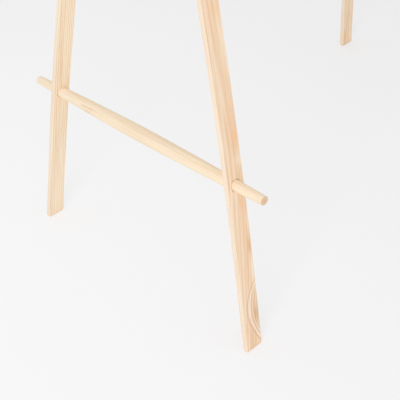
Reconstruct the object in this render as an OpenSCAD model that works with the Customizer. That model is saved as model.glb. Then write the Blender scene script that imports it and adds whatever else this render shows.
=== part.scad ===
// Coat stand of solid wood. Two A-shaped frames lean towards each other. Each has two thin
// bowed legs that cross in a halved joint near the top, and a tapered stretcher that passes
// through both legs and keeps them sprung apart. One round rail lies in the two V-shaped
// tops, seated on flats and held by a peg through each frame.
// Sizes are in millimetres. X runs along the rail, Y across it and Z up. The origin is on
// the floor, below the middle of the rail.

/* [Legs] */
// Width of a leg board, along the rail
leg_w = 42; // [32:1:60]
// Thickness of a leg board
leg_t = 12.5; // [10:0.5:20]
// Distance between the feet of one frame, from the middle of one board to the other
foot_spread = 720; // [600:5:900]
// Angle between a leg and the upright at its foot, in degrees
foot_angle = 9.4; // [8:0.1:11]
// Angle between a leg and the upright above its bend, in degrees
top_angle = 14; // [12.5:0.1:17]
// Length of the bent stretch, measured up the frame from the floor
bend_len = 760; // [560:10:1000]
// Length of a leg's tip above the rail's axis, measured up the frame
tip_len = 60; // [35:1:90]

/* [Frames] */
// Distance between the two frames at the floor, middle to middle
frame_gap = 1146; // [950:2:1500]
// Angle at which each frame leans towards the other, in degrees
frame_lean = 8; // [0:0.25:10]

/* [Stretchers] */
// Height of a stretcher's axis above the floor
stretcher_height = 364; // [220:2:560]
// Diameter of a stretcher at its middle
stretcher_mid_d = 34; // [28:0.5:38]
// Diameter of a stretcher at its tips
stretcher_tip_d = 19.5; // [14:0.5:24]
// Length of a stretcher's tip past the outer face of the leg
stub_len = 78; // [20:1:120]
// Tilt of a stretcher's holes, up towards the outside, in degrees
hole_tilt = 3; // [0:0.5:5]
// Width of the bevel round a stretcher's tip
stretcher_bevel = 1.5; // [0.5:0.25:3]

/* [Rail] */
// Diameter of the rail between the frames
rail_d = 30; // [24:0.5:40]
// Diameter of the rail at its tips
rail_tip_d = 22; // [14:0.5:24]
// Depth of the flats where the rail seats on the legs
seat_depth = 3; // [1.5:0.25:5]
// Length of the rail past the middle of each frame
rail_overhang = 100; // [60:1:160]
// Width of the bevel round the rail's tips
rail_bevel = 1.5; // [0.5:0.25:3]

/* [Pegs] */
// Diameter of a peg
peg_d = 8; // [5:0.5:10]
// Height of a peg's end above the leg's face
peg_proud = 3; // [1:0.5:6]
// Width of the bevel round a peg's ends
peg_bevel = 1; // [0.5:0.25:2]

/* [Fits] */
// Gap on each side in the halved joint where two legs cross
lap_gap = 0.1; // [0.05:0.05:0.3]
// Gap between a rail seat and the leg
seat_gap = 0.1; // [0.05:0.05:0.3]
// Gap over a stretcher where it enters its hole from the inner side, its tightest place
stretcher_gap = 0.1; // [0.05:0.05:0.3]
// Gap around a peg in its hole
peg_gap = 0.05; // [0.02:0.01:0.1]

/* [Hidden] */
$fn = 96;

bend_steps = 16;          // straight runs that stand for the bent stretch of a leg
taper_steps = 14;         // rings along each tapered end of a spindle
taper_power = 1.6;        // how late a spindle thins: 1 is a cone, 2 a barrel
cut_margin = 30;          // how far a cutting shape runs past what it cuts
leg_colour = [0.93, 0.84, 0.74];
spindle_colour = [0.95, 0.87, 0.74];
peg_colour = [0.82, 0.70, 0.55];

// Shape of a leg's middle line in its frame: y across and s up the frame
foot_slope = tan(foot_angle);
top_slope = tan(top_angle);
bend_rate = (top_slope - foot_slope) / (2 * bend_len);

function bent(s) = max(0, min(s, bend_len));
function slope(s) = foot_slope + 2 * bend_rate * bent(s);
function middle_y(s) =
    foot_spread / 2 - foot_slope * s - bend_rate * bent(s) * (2 * s - bent(s));
// A point on the board's outer face (side 1) or inner face (side -1)
function face_point(s, side, thick) =
    let (along = slope(s), half = side * thick / 2 / sqrt(1 + along * along))
    [middle_y(s) + half, s + half * along];

cross_s = bend_len + middle_y(bend_len) / top_slope;
rail_s = cross_s + (leg_t / 2 + rail_d / 2 - seat_depth) / sin(top_angle);
tip_s = rail_s + tip_len;
stretcher_s = stretcher_height / cos(frame_lean);

// Places in the whole stand
frame_x = frame_gap / 2;
rail_x = frame_x - rail_s * sin(frame_lean);
rail_z = rail_s * cos(frame_lean);
stretcher_x = frame_x - stretcher_height * tan(frame_lean);

// Where a level line through height s meets the faces of a board
function level_y(s, side) = middle_y(s) + side * leg_t / 2 * sqrt(1 + slope(s) * slope(s));

stretcher_half = level_y(stretcher_s, 1) + stub_len;
peg_half = -level_y(rail_s, -1) + peg_proud;
rail_half = rail_x + rail_overhang;
rail_plain = rail_x + leg_w;

function spindle_d(y, plain, half, mid_d, tip_d) =
    mid_d - (mid_d - tip_d) * pow(max(0, y - plain) / (half - plain), taper_power);

// A stretcher's hole is tilted, so that it is tightest over the stretcher at its inner rim
function stretcher_d(y) =
    spindle_d(y, 0, stretcher_half, stretcher_mid_d, stretcher_tip_d);
leg_y = middle_y(stretcher_s);
rim_y = level_y(stretcher_s, -1) - stretcher_d(leg_y) / 2 * slope(stretcher_s);
stretcher_hole_d = cos(hole_tilt)
    * (stretcher_d(rim_y) + 2 * stretcher_gap + 2 * (leg_y - rim_y) * tan(hole_tilt));

// Outline of a bowed board, seen along the rail
function board_outline(thick, low, high) =
    let (bends = [for (i = [0 : bend_steps]) bend_len * i / bend_steps],
         stops = concat([low], [for (s = bends) if (s > low && s < high) s], [high]))
    concat([for (s = stops) face_point(s, 1, thick)],
           [for (i = [len(stops) - 1 : -1 : 0]) face_point(stops[i], -1, thick)]);

// A bowed board of the given thickness between two planes along the rail
module board(thick, x_low, x_high, low = -cut_margin, high = tip_s) {
    rotate([90, 0, 90]) translate([0, 0, x_low]) linear_extrude(x_high - x_low)
        polygon(board_outline(thick, low, high));
}

// A round hole along Y through the point x, z
module peg_hole(x, z) {
    translate([x, 0, z]) rotate([90, 0, 0])
        cylinder(h = 4 * rail_d, d = peg_d + 2 * peg_gap, center = true);
}

// Spindle along Z: plain in the middle and thinner towards its bevelled tips
module spindle(half, plain, mid_d, tip_d, bevel) {
    last = half - bevel;
    ends = [for (i = [0 : taper_steps])
        let (y = plain + (last - plain) * i / taper_steps)
        [spindle_d(y, plain, half, mid_d, tip_d) / 2, y]];
    upper = concat(ends, [[tip_d / 2 - bevel, half]]);
    lower = [for (i = [len(upper) - 1 : -1 : (plain > 0 ? 0 : 1)]) [upper[i][0], -upper[i][1]]];
    rotate_extrude() polygon(concat([[0, -half]], lower, upper, [[0, half]]));
}

// One leg of the left frame, before it leans: its foot is at +Y and it keeps the outer half
// of its width at the crossing, or the inner half where keep is 1
module upright_leg(keep) {
    notch_low = keep > 0 ? -leg_w / 2 - cut_margin : -lap_gap / 2;
    notch_high = keep > 0 ? lap_gap / 2 : leg_w / 2 + cut_margin;
    difference() {
        board(leg_t, -leg_w / 2, leg_w / 2);
        intersection() {
            mirror([0, 1, 0])
                board(leg_t + 2 * lap_gap, notch_low, notch_high, high = tip_s + cut_margin);
            translate([0, 0, cross_s]) cube([4 * leg_w, 4 * leg_t, 12 * leg_t], center = true);
        }
        translate([0, leg_y, stretcher_s]) rotate([hole_tilt - 90, 0, 0])
            cylinder(h = 4 * leg_t, d = stretcher_hole_d, center = true);
        peg_hole(0, rail_s);
    }
}

// Leans a frame over its feet and sets it in its place at the left
module left_frame() {
    translate([-frame_x, 0, 0]) rotate([0, frame_lean, 0]) children();
}

module left_leg(front) {
    difference() {
        left_frame() {
            if (front) mirror([0, 1, 0]) upright_leg(1);
            else upright_leg(-1);
        }
        translate([-frame_x, 0, -2 * cut_margin])
            cube([8 * leg_w, 2 * foot_spread, 4 * cut_margin], center = true);
    }
}

module leg_front_left() { color(leg_colour) left_leg(true); }
module leg_back_left() { color(leg_colour) left_leg(false); }
module leg_front_right() { color(leg_colour) mirror([1, 0, 0]) left_leg(true); }
module leg_back_right() { color(leg_colour) mirror([1, 0, 0]) left_leg(false); }

module stretcher(side) {
    color(spindle_colour) translate([side * stretcher_x, 0, stretcher_height])
        rotate([90, 0, 0])
        spindle(stretcher_half, 0, stretcher_mid_d, stretcher_tip_d, stretcher_bevel);
}

module stretcher_left() { stretcher(-1); }
module stretcher_right() { stretcher(1); }

// The flats are cut by the legs themselves, a little thicker and wider than they are
module seat_cuts() {
    left_frame() for (flip = [0, 1]) mirror([0, flip, 0])
        board(leg_t + 2 * seat_gap, -leg_w / 2 - seat_gap, leg_w / 2 + seat_gap,
              low = cross_s, high = tip_s);
}

module rail() {
    color(spindle_colour) difference() {
        translate([0, 0, rail_z]) rotate([0, 90, 0])
            spindle(rail_half, rail_plain, rail_d, rail_tip_d, rail_bevel);
        for (side = [0, 1]) mirror([side, 0, 0]) {
            seat_cuts();
            peg_hole(-rail_x, rail_z);
        }
    }
}

module peg(side) {
    color(peg_colour) translate([side * rail_x, 0, rail_z]) rotate([90, 0, 0])
        rotate_extrude() polygon([[0, -peg_half], [peg_d / 2 - peg_bevel, -peg_half],
            [peg_d / 2, -peg_half + peg_bevel], [peg_d / 2, peg_half - peg_bevel],
            [peg_d / 2 - peg_bevel, peg_half], [0, peg_half]]);
}

module peg_left() { peg(-1); }
module peg_right() { peg(1); }

leg_front_left();
leg_back_left();
leg_front_right();
leg_back_right();
stretcher_left();
stretcher_right();
rail();
peg_left();
peg_right();
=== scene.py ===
import math
import bmesh
import bpy
from mathutils import Matrix, Vector


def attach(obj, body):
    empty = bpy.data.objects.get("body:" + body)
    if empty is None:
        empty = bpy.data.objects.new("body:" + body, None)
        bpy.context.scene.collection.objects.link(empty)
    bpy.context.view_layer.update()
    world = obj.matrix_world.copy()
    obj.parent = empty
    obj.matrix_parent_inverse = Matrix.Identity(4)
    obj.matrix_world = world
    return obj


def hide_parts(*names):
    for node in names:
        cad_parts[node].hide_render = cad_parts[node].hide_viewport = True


# Coat stand of bare ash: two leaning A-shaped frames of bowed legs, a tapered stretcher
# through each, and one rail pegged into the crossed tops. Lengths are in metres.

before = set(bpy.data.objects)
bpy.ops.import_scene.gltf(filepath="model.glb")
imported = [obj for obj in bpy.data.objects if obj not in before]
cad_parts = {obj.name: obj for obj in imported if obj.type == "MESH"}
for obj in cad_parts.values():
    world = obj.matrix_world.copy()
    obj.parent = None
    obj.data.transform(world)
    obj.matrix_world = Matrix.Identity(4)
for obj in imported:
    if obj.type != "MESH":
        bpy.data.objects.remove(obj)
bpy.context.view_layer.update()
print("frame loaded with", len(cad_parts), "nodes")

frames = {
    "gap": 1.146,  # between the two frames at the floor
    "lean": math.radians(8.0),  # each frame leans towards the other
}

legBoard = {
    "width": 0.042,
    "thickness": 0.0125,
    "footSpread": 0.720,  # between the feet of one frame
    "footAngle": math.radians(9.4),  # from the upright, at the foot
    "topAngle": math.radians(14.0),  # from the upright, above the bend
    "bendLength": 0.760,  # the bent stretch, measured up the frame from the floor
    "bendStep": 0.025,
    "tipLength": 0.060,  # past the rail's middle
    "lapGap": 0.0001,
    "edgeRound": 0.0013,
    "footEase": 0.0014,  # how much narrower a foot is at the floor, on each side
    "easeHeight": 0.0040,
    "easeRings": (0.55, 0.75, 1.0),  # cuts round the foot, as shares of that height
    "holeTilt": math.radians(3.0),
    "holeGap": 0.0001,
}

stretcher = {
    "height": 0.364,
    "middleWidth": 0.034,
    "tipWidth": 0.0195,
    "stub": 0.078,  # the free tip, past the leg's outer face
    "tipRound": 0.0018,
}

rail = {
    "width": 0.030,
    "tipWidth": 0.022,
    "seatDepth": 0.003,  # of the flats where it rests on the legs
    "seatGap": 0.0001,
    "overhang": 0.100,  # past the middle of each frame
    "tipRound": 0.0018,
}

peg = {
    "width": 0.008,
    "proud": 0.003,  # how far an end stands out of the legs
    "gap": 0.00005,
    "endRound": 0.0012,
    "steps": 48,
}

spindle = {
    "taperPower": 1.6,  # how late it thins: 1 is a cone, 2 a barrel
    "taperRings": 28,
    "steps": 96,
    "tipSegments": 5,
}

cutter = {
    "margin": 0.03,  # a leg starts this far below the floor, and a lap notch runs this far past it
    "lapStart": 0.09,  # a lap notch starts this far below the crossing
    "boreLength": 0.12,  # through the legs and the rail, for a peg
    "holeLength": 0.06,  # through a leg, for a stretcher
    "holeSteps": 64,
}

edgeSegments = 4
mergeDistance = 0.00001
flatWeight = 80  # how much large faces lead the shading of a rounded edge
placeRounds = 4  # how often a place along a bowed board is worked out again, each time closer
acrossFrame = Vector((0, 1, 0))

footSlope = math.tan(legBoard["footAngle"])
topSlope = math.tan(legBoard["topAngle"])
bendRate = (topSlope - footSlope) / (2 * legBoard["bendLength"])


# The middle line of a leg in its frame: y across, s up the frame
def slopeAt(s):
    return footSlope + 2 * bendRate * max(0.0, min(s, legBoard["bendLength"]))


def middleY(s):
    bent = max(0.0, min(s, legBoard["bendLength"]))
    return legBoard["footSpread"] / 2 - footSlope * s - bendRate * bent * (2 * s - bent)


def levelY(s, side):  # where a level line meets the outer (1) or inner (-1) face
    return middleY(s) + side * legBoard["thickness"] / 2 * math.hypot(1, slopeAt(s))


def spindleWidth(y, plain, half, widest, tip):  # thins from plain to its tip, at half
    share = max(0.0, abs(y) - plain) / (half - plain)
    return widest - (widest - tip) * share**spindle["taperPower"]


crossS = legBoard["bendLength"] + middleY(legBoard["bendLength"]) / topSlope
seatOffset = legBoard["thickness"] / 2 + rail["width"] / 2 - rail["seatDepth"]
railS = crossS + seatOffset / math.sin(legBoard["topAngle"])
tipS = railS + legBoard["tipLength"]
stretcherS = stretcher["height"] / math.cos(frames["lean"])
frameX = frames["gap"] / 2
railX = frameX - railS * math.sin(frames["lean"])
railZ = railS * math.cos(frames["lean"])
stretcherX = frameX - stretcher["height"] * math.tan(frames["lean"])
stretcherHalf = levelY(stretcherS, 1) + stretcher["stub"]
pegHalf = peg["proud"] - levelY(railS, -1)
railHalf = railX + rail["overhang"]
railPlain = railX + legBoard["width"]


def stretcherWidth(y):
    return spindleWidth(y, 0, stretcherHalf, stretcher["middleWidth"], stretcher["tipWidth"])


def boardPoint(across, out, s):  # a point of the bowed board, before its frame leans
    slope = slopeAt(s)
    half = out / math.hypot(1, slope)
    return Vector((across, middleY(s) + half, s + half * slope))


def boardPlace(point):  # the other way: a point of the frame as across, out and along
    s = point.z
    for closer in range(placeRounds):
        slope = slopeAt(s)
        out = (point.y - middleY(s)) * math.hypot(1, slope)
        s = point.z - out * slope / math.hypot(1, slope)
    return Vector((point.x, out, s))


# Small mesh helpers

def meshOf(bm, name):
    mesh = bpy.data.meshes.new(name)
    bm.to_mesh(mesh)
    return mesh


def linked(mesh, name):
    made = bpy.data.objects.new(name, mesh)
    bpy.context.scene.collection.objects.link(made)
    return made


def cutAway(bm, shapes):
    target = linked(meshOf(bm, "target"), "target")
    tools = [linked(meshOf(shape, "cutter"), "cutter") for shape in shapes]
    for tool in tools:
        cut = target.modifiers.new("cut", "BOOLEAN")
        cut.operation = "DIFFERENCE"
        cut.solver = "EXACT"
        cut.object = tool
    bpy.context.view_layer.update()
    depsgraph = bpy.context.evaluated_depsgraph_get()
    result = bpy.data.meshes.new_from_object(target.evaluated_get(depsgraph))
    bm.clear()
    bm.from_mesh(result)
    for used in [target] + tools:
        mesh = used.data
        bpy.data.objects.remove(used)
        bpy.data.meshes.remove(mesh)
    bpy.data.meshes.remove(result)
    for shape in shapes:
        shape.free()


def levelCut(bm, height, **settings):
    everything = bm.verts[:] + bm.edges[:] + bm.faces[:]
    return bmesh.ops.bisect_plane(bm, geom=everything, plane_co=(0, 0, height),
                                  plane_no=(0, 0, 1), **settings)


def roundEdges(bm, width, segments, sharpest=math.radians(35), chosen=None):
    bm.normal_update()
    edges = [e for e in bm.edges if e.is_manifold and e.is_convex
             and e.calc_face_angle(0) > sharpest and (chosen is None or chosen(e))]
    bmesh.ops.bevel(bm, geom=edges, offset=width, offset_type="OFFSET", segments=segments,
                    profile=0.5, affect="EDGES", clamp_overlap=True, material=-1)


def flip(bm, axis):
    bmesh.ops.scale(bm, vec=[-1 if i == axis else 1 for i in range(3)], verts=bm.verts)
    bmesh.ops.reverse_faces(bm, faces=bm.faces)


def toCorner(bm, front, right):  # from the back left corner of the stand to the one given
    if front:
        flip(bm, 1)
    if right:
        flip(bm, 0)


def lean(bm):  # an upright left frame, leant over its feet and set in place
    turn = Matrix.Translation((-frameX, 0, 0)) @ Matrix.Rotation(frames["lean"], 4, "Y")
    bmesh.ops.transform(bm, matrix=turn, verts=bm.verts)


def cylinderAlong(direction, middle, width, length, steps):
    bm = bmesh.new()
    bmesh.ops.create_cone(bm, cap_ends=True, segments=steps, radius1=width / 2,
                          radius2=width / 2, depth=length)
    turn = Vector((0, 0, 1)).rotation_difference(direction).to_matrix().to_4x4()
    bmesh.ops.transform(bm, matrix=Matrix.Translation(middle) @ turn, verts=bm.verts)
    return bm


def pegBore(middle):
    width = peg["width"] + 2 * peg["gap"]
    return cylinderAlong(acrossFrame, middle, width, cutter["boreLength"], peg["steps"])


def board(thickness, lowX, highX, lowS, highS):
    bm = bmesh.new()
    bmesh.ops.create_cube(bm, size=1)
    size = Vector((highX - lowX, thickness, highS - lowS))
    middle = Vector(((highX + lowX) / 2, 0, (highS + lowS) / 2))
    bmesh.ops.scale(bm, vec=size, verts=bm.verts)
    bmesh.ops.translate(bm, vec=middle, verts=bm.verts)
    step = legBoard["bendStep"]
    for i in range(round(legBoard["bendLength"] / step) + 1):
        s = i * step
        if lowS < s < highS and abs(s - stretcherS) > step:
            levelCut(bm, s)
    for v in bm.verts:
        v.co = boardPoint(*v.co)
    return bm


def turned(half, plain, widest, tip, tipRound):  # a spindle along Z, spun from its outline
    bm = bmesh.new()
    last = half - tipRound
    rings = spindle["taperRings"]
    stops = [plain + (last - plain) * i / rings for i in range(rings + 1)]
    if plain == 0:
        stops = stops[1:]
    upper = [(spindleWidth(y, plain, half, widest, tip) / 2, y) for y in stops]
    upper.append((spindleWidth(half, plain, half, widest, tip) / 2, half))
    middle = [(widest / 2, 0)] if plain == 0 else []
    outline = [(0, -half)] + [(r, -y) for r, y in reversed(upper)] + middle + upper + [(0, half)]
    line = [bm.verts.new((r, 0, y)) for r, y in outline]
    for a, b in zip(line, line[1:]):
        bm.edges.new((a, b))
    bmesh.ops.spin(bm, geom=bm.verts[:] + bm.edges[:], cent=(0, 0, 0), axis=(0, 0, 1),
                   angle=math.tau, steps=spindle["steps"], use_merge=True)
    bmesh.ops.remove_doubles(bm, verts=bm.verts, dist=mergeDistance)
    bmesh.ops.recalc_face_normals(bm, faces=bm.faces)
    roundEdges(bm, tipRound, spindle["tipSegments"],
               chosen=lambda e: abs(e.verts[0].co.z) > half - tipRound / 4)
    return bm


def finishPiece(bm, name, node, material, place):
    bmesh.ops.recalc_face_normals(bm, faces=bm.faces)
    for face in bm.faces:
        face.smooth = True
    mesh = meshOf(bm, name)
    grain = mesh.attributes.new("grain", "FLOAT_VECTOR", "POINT")
    for i, v in enumerate(mesh.vertices):
        grain.data[i].vector = place(v.co)
    piece = linked(mesh, name)
    mesh.materials.append(material)
    shade = piece.modifiers.new("flat faces stay flat", "WEIGHTED_NORMAL")
    shade.weight = flatWeight
    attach(piece, "root")
    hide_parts(node)
    bm.free()
    return piece


# Materials: solid ash

def linear(red, green, blue):  # a colour written as 0 to 255 in a picture
    def one(value):
        value = value / 255
        return value / 12.92 if value <= 0.04045 else ((value + 0.055) / 1.055) ** 2.4
    return (one(red), one(green), one(blue), 1)


ash = {
    "pale": linear(254, 237, 214),
    "sandy": linear(251, 227, 195),
    "rosy": linear(248, 217, 183),
    "late": linear(227, 189, 151),
    "blush": (1.0, 0.945, 0.915, 1),  # rosier patches, as a share of the colour under them
    "pore": linear(200, 160, 120),
    "end": linear(246, 214, 178),
    "narrowGrainAndSheen": linear(246, 236, 220),  # the narrow faces: paler where the rings are seen on edge, and a painted sheen of the light on them
    "heart": linear(208, 162, 120),
    "amber": linear(248, 194, 142),
    "rim": linear(198, 164, 142),  # the rim of a spindle's end
    "gleam": linear(255, 235, 217),  # the pale bands of an arch
}

# How far the grain strays, in metres
stray = {
    "bend": 0.006,  # sideways
    "drift": 0.008,  # the rings, slowly along a board
    "wobble": 0.0016,  # the rings, from place to place
    "straighten": 0.12,  # the stretch over which slanting grain turns straight
    "archWobble": 0.004,
    "archStreak": 0.0022,
}

# Noise: how often it repeats in a metre across, out and along, its layers and their roughness
noises = {
    "bend": ((8, 8, 2.4), 1, 0.5),
    "drift": ((4, 4, 1.4), 1.5, 0.5),
    "wobble": ((45, 45, 6), 2, 0.5),
    "fibre": ((900, 900, 14), 2, 0.5),
    "streak": ((230, 230, 6), 3, 0.6),
    "band": ((45, 45, 1.0), 1, 0.5),
    "broad": ((14, 14, 2.2), 2, 0.5),
    "blush": ((34, 34, 6), 2, 0.5),
    "pore": ((1500, 1500, 55), 1, 0.5),
    "endPore": ((2600, 2600, 2600), 1, 0.5),
    "wear": ((60, 60, 18), 2, 0.5),
}

# Where each thing shows: two values that it changes between, and its share at each
shows = {
    "lateRise": (0.40, 0.86, 0.0, 1.0),  # over the width of one year's ring
    "lateFall": (0.92, 1.0, 1.0, 0.0),
    "early": (0.05, 0.45, 1.0, 0.1),
    "year": (0.0, 1.0, 0.5, 1.0),  # some years are darker
    "bands": (0.38, 0.62, 0.0, 1.0),
    "paleStreaks": (0.47, 0.64, 0.0, 0.95),
    "darkStreaks": (0.49, 0.32, 0.0, 0.60),
    "blush": (0.42, 0.62, 0.0, 0.8),
    "fibres": (0.40, 0.75, 0.0, 0.20),
    "pores": (0.63, 0.72, 0.0, 1.0),
    "brokenLine": (0.3, 0.6, 1.0, 0.5),  # the streaks break up a mark
    "brokenLight": (0.3, 0.6, 0.6, 1.0),
    "brokenArch": (0.35, 0.6, 0.8, 1.0),
    "end": (0.36, 0.80, 0.0, 1.0),
    "endHeart": (0.009, 0.002, 0.0, 0.6),  # metres from the middle of the piece
    "endPores": (0.60, 0.70, 0.0, 1.0),
    "wear": (0.3, 0.7, 0.3, 1.0),
    "narrowGrainAndSheen": (0.0, 1.0, 1.0, 0.3),
}

# How strong each thing is where it is full
shares = {
    "band": 0.6,
    "broad": 0.4,
    "figure": 0.9,
    "mostLate": 0.95,  # a ring's late wood is never stronger
    "pores": 0.42,
    "end": 0.9,
    "endRim": 0.6,
    "endRings": 0.45,
    "endPores": 0.35,
    "worn": 0.45,
    "narrowGrainAndSheen": 0.5,
    "foot": 0.2,  # how strong the painted shade at a foot's floor edge is, where its looks give no share of their own
}

# Widths and heights, in metres
edgeWearAndFootShade = {
    "from": 0.0016,  # the wear of a board's edge starts this far inside it
    "full": 0.0002,  # and is full here
    "rimWidth": 0.003,  # over which the dark rim of a spindle's end comes up
    "footShadeTop": 0.0050,  # the painted shade at a foot starts below this height
    "footShadeFull": 0.0008,  # and is full below this one
}

surface = {
    "rough": 0.46,
    "fibreRough": 0.16,  # what the fibres, the sawn ends and the worn edges add to it
    "endRough": 0.18,
    "wornRough": -0.12,
    "ringRise": 0.12,  # how high the rings, the fibres and the pores stand in the bump
    "fibreRise": 0.45,
    "poreRise": -0.8,
    "bump": 0.35,
    "bumpDepth": 0.00035,  # in metres
    "specular": 0.32,
}

# Marks of each kind: their tone, and how the streaks break them up. Some marks are painted shade or
# painted light, where parts meet
markKinds = {
    "lines": ("late", "brokenLine"),
    "knots": ("heart", None),
    "ambers": ("amber", None),
    "lights": ("pale", "brokenLight"),
}


class Tree:  # a short way to write nodes
    def __init__(self, material):
        material.use_nodes = True
        self.tree = material.node_tree
        self.tree.nodes.clear()

    def add(self, kind, inputs=None, **settings):
        made = self.tree.nodes.new(kind)
        for key, value in settings.items():
            setattr(made, key, value)
        for key, value in (inputs or {}).items():
            if isinstance(value, bpy.types.NodeSocket):
                self.tree.links.new(value, made.inputs[key])
            else:
                made.inputs[key].default_value = value
        return made

    def maths(self, operation, *values, clamp=False):
        inputs = {i: value for i, value in enumerate(values)}
        return self.add("ShaderNodeMath", inputs, operation=operation, use_clamp=clamp).outputs[0]

    def times(self, first, second, clamp=False):
        return self.maths("MULTIPLY", first, second, clamp=clamp)

    def onTop(self, value, size, base):  # value times size, added to base
        return self.maths("MULTIPLY_ADD", value, size, base)

    def vectorMaths(self, operation, *values):
        inputs = {i: value for i, value in enumerate(values)}
        return self.add("ShaderNodeVectorMath", inputs, operation=operation).outputs

    def ramp(self, value, low, high, first=0.0, last=1.0):
        inputs = {"Value": value, "From Min": low, "From Max": high, "To Min": first, "To Max": last}
        made = self.add("ShaderNodeMapRange", inputs, interpolation_type="SMOOTHSTEP")
        return made.outputs["Result"]

    def stretch(self, vector, scale, shift=(0, 0, 0)):
        inputs = {"Vector": vector, "Scale": scale, "Location": shift}
        return self.add("ShaderNodeMapping", inputs).outputs["Vector"]

    def noise(self, name, vector, shift=(0, 0, 0)):
        scale, detail, rough = noises[name]
        inputs = {"Vector": self.stretch(vector, scale, shift), "Scale": 1.0, "Detail": detail,
                  "Roughness": rough}
        return self.add("ShaderNodeTexNoise", inputs).outputs["Fac"]

    def mix(self, share, first, second, blend="MIX"):
        made = self.add("ShaderNodeMix", {"Factor": share}, data_type="RGBA", blend_type=blend)
        for key, value in (("A", first), ("B", second)):
            socket = [s for s in made.inputs if s.name == key and s.type == "RGBA"][0]
            if isinstance(value, bpy.types.NodeSocket):
                self.tree.links.new(value, socket)
            else:
                socket.default_value = value
        return [s for s in made.outputs if s.type == "RGBA"][0]


# Looks: pith is the tree's heart as across and out, ring one year's width, climb how fast the
# rings cross the piece along its length, slant how far the grain runs off it, up to straightFrom.
# shift moves the noise, contrast is the rings' strength, and paler and tint change all the wood.
class AshTree(Tree):  # reads the piece's own across, out and along
    def __init__(self, material, looks):
        super().__init__(material)
        self.looks = looks
        plain = self.add("ShaderNodeAttribute", attribute_name="grain").outputs["Vector"]
        parts = self.add("ShaderNodeSeparateXYZ", {"Vector": plain}).outputs
        self.across, self.out, self.along = parts[0], parts[1], parts[2]
        bend = self.noise("bend", plain, looks["shift"])
        bent = self.onTop(bend, stray["bend"], self.across)
        slanted = self.along
        if "straightFrom" in looks:
            slanted = self.maths("SMOOTH_MIN", self.along, looks["straightFrom"], stray["straighten"])
        bent = self.onTop(slanted, looks["slant"], bent)
        self.grain = self.add("ShaderNodeCombineXYZ", {0: bent, 1: self.out, 2: self.along}).outputs[0]
        self.moved = self.stretch(self.grain, (1, 1, 1), looks["shift"])
        self.sideways = self.across
        if "seenFrom" in looks:  # the marks of a round piece lie across the view from this angle
            viewTurn = looks["seenFrom"]
            self.sideways = self.times(self.across, math.cos(viewTurn))
            self.sideways = self.onTop(self.out, math.sin(viewTurn), self.sideways)
        self.wobble = self.noise("wobble", self.moved)
        self.fibre = self.noise("fibre", self.moved)
        self.streak = self.noise("streak", self.moved)
        self.worn = 0.0

    def show(self, value, name):
        return self.ramp(value, *shows[name])

    def fading(self, squared):  # 1 where a squared distance is 0
        return self.maths("EXPONENT", self.times(squared, -1.0))

    def spot(self, across, along, wide, long):
        dx = self.maths("DIVIDE", self.maths("SUBTRACT", self.sideways, across), wide)
        ds = self.maths("DIVIDE", self.maths("SUBTRACT", self.along, along), long)
        return self.fading(self.maths("ADD", self.times(dx, dx), self.times(ds, ds)))

    def growRings(self):  # by the distance from the tree's heart, drifting along the board
        looks = self.looks
        toHeart = self.vectorMaths("SUBTRACT", self.grain, (*looks["pith"], 0))[0]
        flat = self.vectorMaths("MULTIPLY", toHeart, (1, 1, 0))[0]
        radius = self.vectorMaths("LENGTH", flat)["Value"]
        radius = self.onTop(self.along, looks["climb"], radius)
        radius = self.onTop(self.noise("drift", self.moved), stray["drift"], radius)
        radius = self.onTop(self.wobble, stray["wobble"], radius)
        self.figured = None
        # a figure bends the rings round a spot: across, along, how far, how wide, how long
        for across, along, push, wide, long in looks.get("figures", []):
            bump = self.spot(across, along, wide, long)
            radius = self.onTop(bump, push, radius)
            self.figured = self.maths("ADD", self.figured, bump) if self.figured else bump
        years = self.maths("DIVIDE", radius, looks["ring"])
        phase = self.maths("FRACT", years)
        luck = self.add("ShaderNodeTexWhiteNoise", {"W": self.maths("FLOOR", years)},
                        noise_dimensions="1D").outputs["Value"]
        late = self.times(self.show(phase, "lateRise"), self.show(phase, "lateFall"))
        self.late = self.times(late, self.show(luck, "year"))
        self.early = self.show(phase, "early")
        poreNoise = self.noise("pore", self.moved)
        self.pores = self.times(self.show(poreNoise, "pores"), self.early)

    def woodTone(self):  # broad bands, streaks, rings, fibres and open pores
        looks = self.looks
        bands = self.maths("ADD", self.times(self.noise("band", self.moved), shares["band"]),
                           self.times(self.noise("broad", self.moved), shares["broad"]))
        tone = self.mix(self.show(bands, "bands"), ash["rosy"], ash["sandy"])
        tone = self.mix(self.show(self.streak, "paleStreaks"), tone, ash["pale"])
        blush = self.show(self.noise("blush", self.moved), "blush")
        tone = self.mix(blush, tone, ash["blush"], "MULTIPLY")
        tone = self.mix(looks["paler"], tone, ash["pale"])
        share = self.times(self.late, looks["contrast"])
        if self.figured:
            clear = self.times(self.figured, 1.0, clamp=True)
            tone = self.mix(self.times(clear, self.early), tone, ash["pale"])
            figuredLate = self.times(self.figured, self.late)
            share = self.onTop(figuredLate, shares["figure"], share)
        tone = self.mix(self.maths("MINIMUM", share, shares["mostLate"]), tone, ash["late"])
        if self.figured:
            tone = self.mix(self.times(figuredLate, 1.0, clamp=True), tone, ash["pore"])
        tone = self.mix(self.show(self.streak, "darkStreaks"), tone, ash["late"])
        tone = self.mix(self.show(self.fibre, "fibres"), tone, ash["late"])
        tone = self.mix(self.times(self.pores, shares["pores"]), tone, ash["pore"])
        if "tint" in looks:
            tone = self.mix(looks["tint"][0], tone, looks["tint"][1])
        return tone

    def addMarks(self, tone):  # each mark is across, along, how strong, how wide and how long
        for kind, (colour, breaks) in markKinds.items():
            for across, along, strength, wide, long in self.looks.get(kind, []):
                share = self.spot(across, along, wide, long)
                if breaks:
                    share = self.times(share, self.show(self.streak, breaks))
                tone = self.mix(self.times(share, strength), tone, ash[colour])
        return tone

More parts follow.
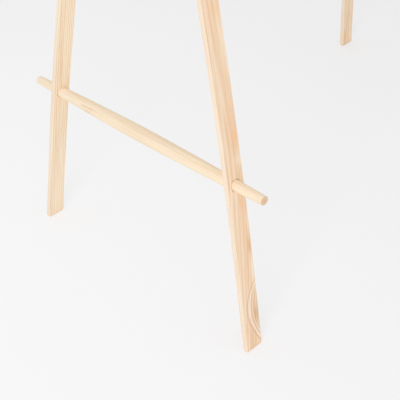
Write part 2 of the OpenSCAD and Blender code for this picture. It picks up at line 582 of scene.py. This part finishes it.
    # Arches lie sideways, one in the other: how fast and by what power they open below and above
    # their place, and for each its tip across, how pale (or dark, below 0) and how thick it is
    def addArches(self, tone, arches):
        ds = self.maths("SUBTRACT", self.along, arches["along"])
        level = self.across
        for sign, way in ((-1.0, "below"), (1.0, "above")):
            rate, power = arches[way]
            reach = self.maths("MAXIMUM", self.times(ds, sign), 0.0)
            level = self.onTop(self.maths("POWER", reach, power), -rate, level)
        for noise, size in ((self.wobble, "archWobble"), (self.streak, "archStreak")):
            swing = self.maths("SUBTRACT", noise, 0.5)  # noise lies about one half
            level = self.onTop(swing, stray[size], level)
        broken = self.show(self.streak, "brokenArch")
        for tip, pale, thick in arches["bands"]:
            away = self.maths("DIVIDE", self.maths("SUBTRACT", level, tip), thick)
            share = self.times(self.fading(self.times(away, away)), broken)
            tone = self.mix(self.times(share, abs(pale)), tone, ash["gleam" if pale > 0 else "pore"])
        return tone

    def sawEnds(self, tone, endAxis):  # darker, brown towards the middle, the pores as dots
        normal = self.add("ShaderNodeTexCoord").outputs["Normal"]
        facing = self.vectorMaths("DOT_PRODUCT", normal, endAxis)["Value"]
        self.end = self.show(self.maths("ABSOLUTE", facing), "end")
        middle = self.vectorMaths("LENGTH", self.stretch(self.grain, (1, 1, 0)))["Value"]
        endTone = self.mix(self.show(middle, "endHeart"), ash["end"], ash["heart"])
        if "rim" in self.looks:
            rim = self.looks["rim"]  # full this far from the middle
            rimShare = self.ramp(middle, rim - edgeWearAndFootShade["rimWidth"], rim, 0.0, shares["endRim"])
            endTone = self.mix(rimShare, endTone, ash["rim"])
        endTone = self.mix(self.times(self.late, shares["endRings"]), endTone, ash["pore"])
        dots = self.show(self.noise("endPore", self.grain), "endPores")
        endTone = self.mix(self.times(dots, shares["endPores"]), endTone, ash["pore"])
        return self.mix(self.times(self.end, shares["end"]), tone, endTone)

    def wearBoardAndPaintLight(self, tone, half):  # handled edges are paler and smoother; the narrow faces get a painted sheen, and the feet painted shade at the floor
        edgeX = self.ramp(self.maths("ABSOLUTE", self.across), half[0] - edgeWearAndFootShade["from"],
                          half[0] - edgeWearAndFootShade["full"])
        edgeY = self.ramp(self.maths("ABSOLUTE", self.out), half[1] - edgeWearAndFootShade["from"],
                          half[1] - edgeWearAndFootShade["full"])
        patches = self.show(self.noise("wear", self.moved), "wear")
        self.worn = self.times(self.times(edgeX, edgeY), patches)
        tone = self.mix(self.times(self.worn, shares["worn"]), tone, ash["pale"])
        # the narrow faces are painted paler: a painted sheen of the light, and partly the paler edge
        # grain
        narrowGrainAndSheen = self.times(edgeX, self.show(edgeY, "narrowGrainAndSheen"))
        tone = self.mix(self.times(narrowGrainAndSheen, shares["narrowGrainAndSheen"]), tone, ash["narrowGrainAndSheen"])
        # painted shade: the foot darkens towards the floor, where the contact shadow falls
        place = self.add("ShaderNodeTexCoord").outputs["Object"]
        height = self.add("ShaderNodeSeparateXYZ", {"Vector": place}).outputs[2]
        footShadeDepth = self.looks.get("footShade", shares["foot"])
        footShadeMask = self.ramp(height, edgeWearAndFootShade["footShadeTop"], edgeWearAndFootShade["footShadeFull"], 0.0, footShadeDepth)
        return self.mix(footShadeMask, tone, ash["pore"])

    def finish(self, tone):
        rough = self.onTop(self.fibre, surface["fibreRough"], surface["rough"])
        rough = self.onTop(self.end, surface["endRough"], rough)
        rough = self.onTop(self.worn, surface["wornRough"], rough)
        rise = self.times(self.fibre, surface["fibreRise"])
        rise = self.onTop(self.late, surface["ringRise"], rise)
        rise = self.onTop(self.pores, surface["poreRise"], rise)
        bump = self.add("ShaderNodeBump", {"Height": rise, "Strength": surface["bump"],
                                           "Distance": surface["bumpDepth"]})
        shader = self.add("ShaderNodeBsdfPrincipled", {"Base Color": tone, "Roughness": rough,
                                                       "Normal": bump.outputs["Normal"]})
        shader.inputs["Specular IOR Level"].default_value = surface["specular"]
        self.add("ShaderNodeOutputMaterial", {"Surface": shader.outputs["BSDF"]})


# The sawn ends face along endAxis, and half is a board's half width and half thickness
def ashWood(name, looks, endAxis, half=None):
    material = bpy.data.materials.new(name)
    t = AshTree(material, looks)
    t.growRings()
    tone = t.addMarks(t.woodTone())
    if "arches" in looks:
        tone = t.addArches(tone, looks["arches"])
    tone = t.sawEnds(tone, endAxis)
    if half:
        tone = t.wearBoardAndPaintLight(tone, half)
    t.finish(tone)
    return material


# Legs

legLooks = {
    "leg_front_left": {
        "pith": (-0.085, -0.100), "ring": 0.0046, "climb": 0.006, "slant": -0.10,
        "straightFrom": 0.38, "shift": (2.6, 5.8, 13.1),
        "contrast": 1.05, "paler": 0.0, "tint": (0.20, linear(240, 208, 176)),
        "lines": [(0.004, 0.475, 0.34, 0.0110, 0.050), (0.016, 0.500, 0.30, 0.0040, 0.018),
                  (0.006, 0.705, 0.40, 0.0080, 0.020), (-0.009, 0.630, 0.50, 0.0035, 0.025),
                  (0.007, 0.328, 0.30, 0.0050, 0.014), (-0.007, 0.320, 0.30, 0.0040, 0.020),
                  (0.000, 0.245, 0.35, 0.0035, 0.022), (-0.013, 0.130, 0.40, 0.0050, 0.030),
                  (-0.015, 0.055, 0.35, 0.0060, 0.030), (0.010, 0.040, 0.35, 0.0060, 0.012),
                  (-0.0135, 0.540, 0.80, 0.0035, 0.060), (0.006, 0.560, 0.35, 0.0050, 0.035),
                  # the first mark on the next line is a painted shadow, under the stretcher's stub
                  (0.0145, 0.312, 0.50, 0.0045, 0.010), (0.0190, 0.572, 0.60, 0.0030, 0.014)],
        "ambers": [(0.0115, 0.462, 0.50, 0.0065, 0.020), (0.007, 0.328, 0.50, 0.0050, 0.014),
                   (0.0145, 0.230, 0.20, 0.0040, 0.012), (0.009, 0.705, 0.35, 0.0080, 0.020),
                   (0.007, 0.515, 0.20, 0.0060, 0.025), (0.008, 0.585, 0.18, 0.0050, 0.022),
                   (0.018, 0.462, 0.40, 0.0040, 0.016), (-0.0145, 0.048, 0.25, 0.0060, 0.010)],
        "knots": [(0.0125, 0.077, 0.62, 0.0050, 0.017), (0.0155, 0.232, 0.55, 0.0042, 0.015),
                  (0.0200, 0.078, 0.55, 0.0028, 0.050)],
        "lights": [(-0.0070, 0.545, 0.65, 0.0040, 0.035), (0.018, 0.655, 0.70, 0.0055, 0.045),
                   (-0.006, 0.595, 0.40, 0.0035, 0.035), (-0.018, 0.455, 0.60, 0.0045, 0.045),
                   (0.012, 0.415, 0.50, 0.0100, 0.010), (0.017, 0.425, 0.40, 0.0040, 0.020),
                   # the first mark on the next line is painted light over the shade of the hole's gap,
                   # beside the stretcher
                   (-0.011, 0.350, 0.60, 0.0035, 0.012), (0.0175, 0.285, 0.50, 0.0035, 0.028),
                   (0.0170, 0.172, 0.90, 0.0055, 0.034)],
        "arches": {
            "along": 0.081, "below": (3.1, 1.75), "above": (27, 2.6),
            "bands": [(-0.0138, 0.25, 0.0016), (-0.0102, -0.45, 0.0020), (-0.0029, 0.95, 0.0022),
                      (0.0010, -0.50, 0.0014), (0.0045, 0.60, 0.0016), (0.0080, -0.30, 0.0015)]}},
    "leg_back_left": {
        "pith": (-0.070, -0.045), "ring": 0.0046, "climb": 0.006, "slant": 0.01,
        "shift": (0.8, 4.3, 10.1),
        "contrast": 1.25, "paler": 0.70, "tint": (0.22, linear(255, 234, 192)), "footShade": 0.0,
        "figures": [(0.004, 0.200, 0.006, 0.009, 0.100)],
        "lights": [(0.0, 0.080, 0.50, 0.0200, 0.100), (0.010, 0.200, 0.70, 0.0070, 0.080)]},
    "leg_front_right": {
        "pith": (-0.010, -0.036), "ring": 0.0034, "climb": 0.012, "slant": 0.02,
        "shift": (2.9, 1.3, 9.0), "contrast": 0.8, "paler": 0.0,
        "figures": [(-0.015, 0.900, 0.010, 0.014, 0.080)]},
    "leg_back_right": {
        "pith": (-0.008, -0.030), "ring": 0.0036, "climb": -0.014, "slant": -0.02,
        "shift": (7.4, 3.9, 11.3), "contrast": 0.8, "paler": 0.0,
        "lines": [(0.001, 0.115, 0.50, 0.0050, 0.015), (0.013, 0.100, 0.30, 0.0040, 0.050)],
        "ambers": [(-0.0125, 0.036, 0.65, 0.0090, 0.014)],
        "lights": [(-0.014, 0.080, 0.50, 0.0050, 0.018), (0.013, 0.028, 0.50, 0.0060, 0.012)]},
}


def stretcherHole():
    slope = slopeAt(stretcherS)
    legY = middleY(stretcherS)
    rimY = levelY(stretcherS, -1) - stretcherWidth(legY) / 2 * slope
    tilt = legBoard["holeTilt"]
    width = stretcherWidth(rimY) + 2 * legBoard["holeGap"] + 2 * (legY - rimY) * math.tan(tilt)
    along = Vector((0, math.cos(tilt), math.sin(tilt)))
    return cylinderAlong(along, (0, legY, stretcherS), width * math.cos(tilt),
                         cutter["holeLength"], cutter["holeSteps"])


def lapNotch(keep):  # the other leg's board, on the side that this leg gives up
    half = legBoard["width"] / 2
    gap = legBoard["lapGap"]
    low = -2 * half if keep > 0 else -gap / 2
    high = gap / 2 if keep > 0 else 2 * half
    notch = board(legBoard["thickness"] + 2 * gap, low, high, crossS - cutter["lapStart"],
                  tipS + cutter["margin"])
    flip(notch, 1)
    return notch


def easeFoot(bm):  # the rim that meets the floor is worn rounder than the long edges
    height = legBoard["easeHeight"]
    for share in legBoard["easeRings"]:
        levelCut(bm, share * height)
    sole = [v.co for v in bm.verts if v.co.z < mergeDistance]
    middle = sum(sole, Vector()) / len(sole)
    for v in bm.verts:
        if v.co.z < height:
            ease = legBoard["footEase"] * (1 - v.co.z / height) ** 2
            v.co.x -= ease * (v.co.x - middle.x) / (legBoard["width"] / 2)
            v.co.y -= ease * (v.co.y - middle.y) / (legBoard["thickness"] / 2)


def makeLeg(name, front, right):
    half = legBoard["width"] / 2
    bm = board(legBoard["thickness"], -half, half, -cutter["margin"], tipS)
    cutAway(bm, [stretcherHole(), lapNotch(1 if front else -1), pegBore((0, 0, railS))])
    lean(bm)
    cut = levelCut(bm, 0, clear_inner=True)
    rim = [e for e in cut["geom_cut"] if isinstance(e, bmesh.types.BMEdge)]
    bmesh.ops.contextual_create(bm, geom=rim)
    bmesh.ops.remove_doubles(bm, verts=bm.verts, dist=mergeDistance)
    roundEdges(bm, legBoard["edgeRound"], edgeSegments)
    easeFoot(bm)
    toCorner(bm, front, right)
    sideX = -1 if right else 1
    sideY = -1 if front else 1
    upright = Matrix.Rotation(-frames["lean"], 4, "Y") @ Matrix.Translation((frameX, 0, 0))

    def place(co):
        spot = boardPlace(upright @ Vector((co.x * sideX, co.y * sideY, co.z)))
        return (spot.x * sideX, spot.y, spot.z)

    material = ashWood(name + "_ash", legLooks[name], (0, 0, 1), (half, legBoard["thickness"] / 2))
    return finishPiece(bm, name.replace("leg_", "bowed_leg_"), name, material, place)


for side in ("left", "right"):
    for row in ("front", "back"):
        makeLeg("leg_" + row + "_" + side, row == "front", side == "right")
print("legs made")


# Stretchers

stretcherFinish = {"contrast": 0.5, "paler": 0.1, "tint": (0.5, linear(250, 238, 212)),
                   "rim": 0.0088}

stretcherLooks = {
    "left": {
        "pith": (0.004, 0.040), "ring": 0.0032, "climb": 0.010, "slant": 0.01,
        "shift": (5.0, 7.2, 2.1), "seenFrom": math.radians(42),
        "lines": [(-0.0053, 0.180, 0.90, 0.0016, 0.012), (-0.0037, 0.155, 0.80, 0.0016, 0.012),
                  (-0.0125, 0.167, 0.80, 0.0014, 0.014), (0.0, -0.375, 0.10, 0.0400, 0.060)],
        # the first mark on the next line is painted light over the shade where the stretcher meets the
        # back leg
        "lights": [(0.0, 0.275, 0.80, 0.0200, 0.030), (0.0, -0.280, 0.60, 0.0200, 0.020)]},
    "right": {
        "pith": (-0.010, 0.034), "ring": 0.0034, "climb": 0.008, "slant": -0.01,
        "shift": (3.3, 1.1, 7.0)},
}


def makeStretcher(side, sign):
    bm = turned(stretcherHalf, 0, stretcher["middleWidth"], stretcher["tipWidth"],
                stretcher["tipRound"])
    middle = Vector((sign * stretcherX, 0, stretcher["height"]))
    turn = Matrix.Translation(middle) @ Matrix.Rotation(math.pi / 2, 4, "X")
    bmesh.ops.transform(bm, matrix=turn, verts=bm.verts)
    looks = {**stretcherLooks[side], **stretcherFinish}
    material = ashWood("stretcher_" + side + "_ash", looks, (0, 1, 0))

    def place(co):
        return (co.x - middle.x, co.z - middle.z, co.y)

    return finishPiece(bm, "spindle_stretcher_" + side, "stretcher_" + side,
                       material, place)


makeStretcher("left", -1)
makeStretcher("right", 1)
print("stretchers made")


# Rail

railLooks = {
    "pith": (0.012, 0.038), "ring": 0.0033, "climb": 0.012, "slant": 0.005,
    "shift": (5.1, 2.0, 11.0),
    "contrast": 0.55, "paler": 0.1, "tint": (0.45, linear(250, 240, 213)),
}


def makeRail():
    bm = turned(railHalf, railPlain, rail["width"], rail["tipWidth"], rail["tipRound"])
    turn = Matrix.Translation((0, 0, railZ)) @ Matrix.Rotation(math.pi / 2, 4, "Y")
    bmesh.ops.transform(bm, matrix=turn, verts=bm.verts)
    shapes = []
    half = legBoard["width"] / 2 + rail["seatGap"]
    for front in (False, True):
        for right in (False, True):
            seat = board(legBoard["thickness"] + 2 * rail["seatGap"], -half, half, crossS, tipS)
            lean(seat)
            toCorner(seat, front, right)
            shapes.append(seat)
    for sign in (-1, 1):
        shapes.append(pegBore((sign * railX, 0, railZ)))
    cutAway(bm, shapes)
    material = ashWood("rail_ash", railLooks, (1, 0, 0))

    def place(co):
        return (co.y, co.z - railZ, co.x)

    return finishPiece(bm, "round_rail", "rail", material, place)


makeRail()
print("rail made")


# Pegs

pegLooks = {
    "pith": (0.004, 0.012), "ring": 0.0020, "climb": 0.0, "slant": 0.0,
    "contrast": 0.6, "paler": 0.0, "tint": (0.45, linear(206, 160, 112)),
}

pegShifts = {"left": (5.0, 3.0, 1.0), "right": (7.0, 3.0, 1.0)}


def makePeg(side, sign):
    bm = cylinderAlong(acrossFrame, (sign * railX, 0, railZ), peg["width"], 2 * pegHalf,
                       peg["steps"])
    roundEdges(bm, peg["endRound"], edgeSegments)
    material = ashWood("peg_" + side + "_ash", {**pegLooks, "shift": pegShifts[side]}, (0, 1, 0))

    def place(co):
        return (co.x - sign * railX, co.z - railZ, co.y)

    return finishPiece(bm, "rail_peg_" + side, "peg_" + side, material, place)


makePeg("left", -1)
makePeg("right", 1)
print("pegs made")


# Floor, light and camera

floorLook = {
    "reach": 14.0,
    "tone": linear(251, 251, 253),
    "nearTone": linear(254, 254, 254),  # a painted pool of light: the floor as the camera sees it, on the lamp's side
    "farTone": linear(241, 241, 241),
    "fadeMiddle": (-1.3, 1.0, 0.0),  # that painted light fades away from here, between these distances
    "fadeFrom": 0.8,
    "fadeTo": 2.3,
    "seenShare": 0.5,  # how much of that look covers the lit floor
    "backdrop": linear(238, 238, 238),
}

light = {
    "sky": 0.79,
    "lampPower": 31,
    "lampSize": 1.6,
    "lampPlace": (-2.9, -1.85, 2.0),
    "lampAim": (0.0, 0.0, 0.5),
}

view = {
    "place": (-1.528, -1.447, 1.470),
    "yaw": 0.8998,  # angles in radians
    "pitch": 0.6375,
    "roll": -0.1240,
    "focal": 962.5,  # in pixels of a picture 400 wide
    "pictureWidth": 400,
}


def raysSeen(t):  # the camera's own rays, and those by way of metal or glass
    rays = t.add("ShaderNodeLightPath").outputs
    seen = t.maths("MAXIMUM", rays["Is Camera Ray"], rays["Is Glossy Ray"])
    return t.maths("MAXIMUM", seen, rays["Is Transmission Ray"])


def makeFloor():
    bm = bmesh.new()
    bmesh.ops.create_grid(bm, x_segments=1, y_segments=1, size=floorLook["reach"])
    floor = linked(meshOf(bm, "floor"), "floor")
    bm.free()
    material = bpy.data.materials.new("pale_floor")
    t = Tree(material)
    spot = t.add("ShaderNodeTexCoord").outputs["Object"]
    far = t.vectorMaths("DISTANCE", spot, floorLook["fadeMiddle"])["Value"]
    fade = t.add("ShaderNodeMapRange", {"Value": far, "From Min": floorLook["fadeFrom"],
                                        "From Max": floorLook["fadeTo"]}).outputs["Result"]
    tone = t.mix(fade, floorLook["nearTone"], floorLook["farTone"])
    glow = t.add("ShaderNodeEmission", {"Color": tone, "Strength": 1.0})
    lit = t.add("ShaderNodeBsdfDiffuse", {"Color": floorLook["tone"]})
    share = t.times(raysSeen(t), floorLook["seenShare"])
    both = t.add("ShaderNodeMixShader", {0: share, 1: lit.outputs[0], 2: glow.outputs[0]})
    t.add("ShaderNodeOutputMaterial", {"Surface": both.outputs[0]})
    floor.data.materials.append(material)


def makeLight():
    world = bpy.data.worlds.new("studio")
    bpy.context.scene.world = world
    t = Tree(world)
    sky = t.add("ShaderNodeBackground", {"Color": (1, 1, 1, 1), "Strength": light["sky"]})
    back = t.add("ShaderNodeBackground", {"Color": floorLook["backdrop"], "Strength": 1.0})
    both = t.add("ShaderNodeMixShader", {0: raysSeen(t), 1: sky.outputs[0], 2: back.outputs[0]})
    t.add("ShaderNodeOutputWorld", {"Surface": both.outputs[0]})
    soft = bpy.data.lights.new("soft_lamp", "AREA")
    soft.energy = light["lampPower"]
    soft.size = light["lampSize"]
    lamp = bpy.data.objects.new("soft_lamp", soft)
    lamp.location = light["lampPlace"]
    away = Vector(light["lampPlace"]) - Vector(light["lampAim"])
    lamp.rotation_euler = away.to_track_quat("Z", "Y").to_euler()
    bpy.context.scene.collection.objects.link(lamp)


def makeCamera():
    yaw, pitch, roll = view["yaw"], view["pitch"], view["roll"]
    ahead = Vector((math.cos(pitch) * math.cos(yaw), math.cos(pitch) * math.sin(yaw),
                    -math.sin(pitch)))
    level = ahead.cross(Vector((0, 0, 1))).normalized()
    above = level.cross(ahead)
    sideways = math.cos(roll) * level + math.sin(roll) * above
    up = math.cos(roll) * above - math.sin(roll) * level
    lens = bpy.data.cameras.new("camera")
    lens.lens = view["focal"] / view["pictureWidth"] * lens.sensor_width
    camera = bpy.data.objects.new("camera", lens)
    turn = Matrix((sideways, up, -ahead)).transposed().to_4x4()
    camera.matrix_world = Matrix.Translation(view["place"]) @ turn
    bpy.context.scene.collection.objects.link(camera)
    bpy.context.scene.camera = camera


makeFloor()
makeLight()
makeCamera()
bpy.context.scene.view_settings.view_transform = "Standard"
print("floor, light and camera set")
